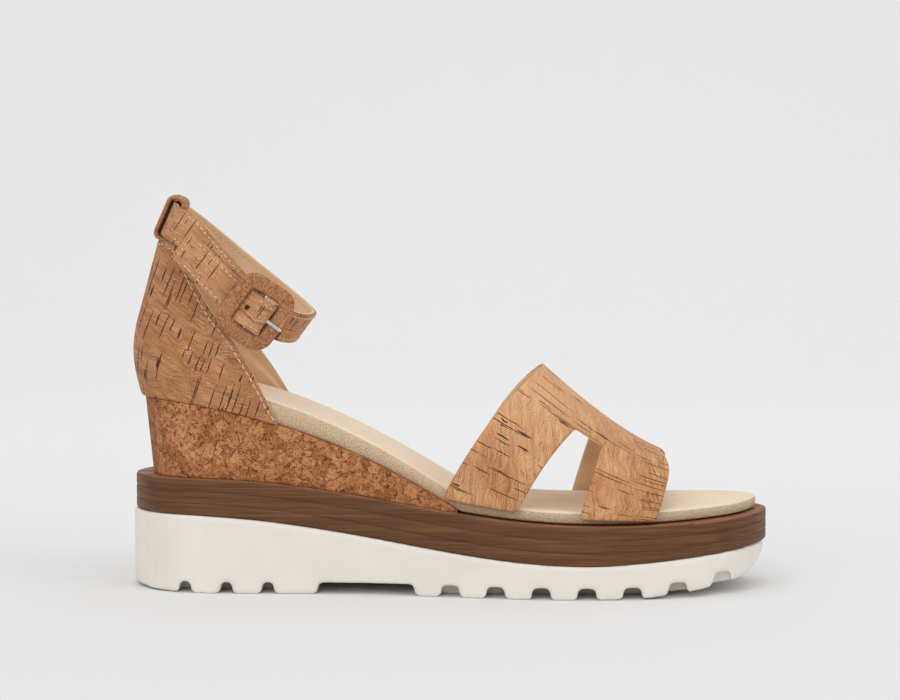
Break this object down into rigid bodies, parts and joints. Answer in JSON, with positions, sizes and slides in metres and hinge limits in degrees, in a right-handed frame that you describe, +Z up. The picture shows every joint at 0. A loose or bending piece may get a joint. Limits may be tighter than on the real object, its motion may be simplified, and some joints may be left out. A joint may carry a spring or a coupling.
{
  "type": "wedge sandal",
  "caption": "Open-toe wedge sandal for the right foot: lugged white outsole, brown midsole, cork wedge, cork-fabric H-band and heel counter, and an ankle strap with a covered buckle.",
  "frame": {"origin": "on the ground under the centre of the heel, on the outsole's flat heel area", "axes": "+X towards the toe, -Y towards the outside of the foot, +Y towards the inside of the foot, +Z up from the ground"},
  "size_m": [0.2534, 0.0904, 0.1547],
  "materials": {
    "outsole_white": "matte moulded off-white foam rubber",
    "midsole_brown": "satin stacked-layer look with fine lengthwise grain",
    "wedge_cork": "matte pressed granulated cork",
    "shank_steel": "raw spring steel",
    "board_tan": "pressed fibre board",
    "nail_steel": "bright steel nails",
    "filler_cork": "soft cork filler",
    "foam_cream": "soft latex foam",
    "cushion_blue": "soft gel foam pad",
    "suede_cream": "matte suede",
    "cork_fabric": "satin natural cork sheet with dark slit marks",
    "lining_beige": "matte lining leather",
    "stiffener_white": "moulded heel stiffener",
    "buckle_cork": "satin cork fabric wrapped over the buckle",
    "buckle_metal": "polished nickel"
  },
  "bodies": {
    "sandal": {"outsole": "outsole_white", "midsole": "midsole_brown", "cork_wedge": "wedge_cork", "shank": "shank_steel", "insole_board": "board_tan", "heel_nails": "nail_steel", "forefoot_filler": "filler_cork", "footbed_foam": "foam_cream", "heel_cushion": "cushion_blue", "footbed_cover": "suede_cream", "vamp_cover": "cork_fabric", "vamp_lining": "lining_beige", "counter_cover": "cork_fabric", "counter_stiffener": "stiffener_white", "counter_lining": "lining_beige", "heel_loop": "cork_fabric"},
    "strap_back": {"strap_back_cover": "cork_fabric", "strap_back_lining": "lining_beige"},
    "buckle_strap": {"buckle_strap_cover": "cork_fabric", "buckle_strap_lining": "lining_beige"},
    "long_strap": {"long_strap_cover": "cork_fabric", "long_strap_lining": "lining_beige", "strap_tip_cover": "cork_fabric", "strap_tip_lining": "lining_beige"},
    "buckle": {"buckle_frame": "buckle_metal", "buckle_wrap": "buckle_cork", "buckle_bar": "buckle_metal"},
    "prong": {"buckle_prong": "buckle_metal"}
  },
  "joints": [
    {"name": "strap_tilt", "type": "hinge", "parent": "sandal", "child": "strap_back", "pos_m": [-0.0205, 0, 0.1465], "axis": [0, 1, 0], "range_deg": [-6, 3]},
    {"name": "strap_open", "type": "hinge", "parent": "strap_back", "child": "long_strap", "pos_m": [-0.01968, 0.01124, 0.14589], "axis": [0.5948, 0, 0.8039], "range_deg": [0, 40], "deforming": ["strap_tip_cover", "strap_tip_lining"]},
    {"name": "buckle_strap_swing", "type": "hinge", "parent": "strap_back", "child": "buckle_strap", "pos_m": [-0.01968, -0.01124, 0.14589], "axis": [-0.5948, 0, -0.8039], "range_deg": [0, 14]},
    {"name": "buckle_pivot", "type": "hinge", "parent": "buckle_strap", "child": "buckle", "pos_m": [0.01586, -0.0296, 0.11077], "axis": [-0.5948, 0, -0.8039], "range_deg": [0, 6]},
    {"name": "prong_pivot", "type": "hinge", "parent": "buckle", "child": "prong", "pos_m": [0.01586, -0.0296, 0.11077], "axis": [-0.5948, 0, -0.8039], "range_deg": [0, 32]}
  ],
  "couplings": [
    {"joint": "buckle_strap_swing", "follows": "strap_open", "ratio": 0.3499},
    {"joint": "buckle_pivot", "follows": "strap_open", "ratio": 0.1499},
    {"joint": "prong_pivot", "follows": "strap_open", "ratio": 0.7999}
  ]
}
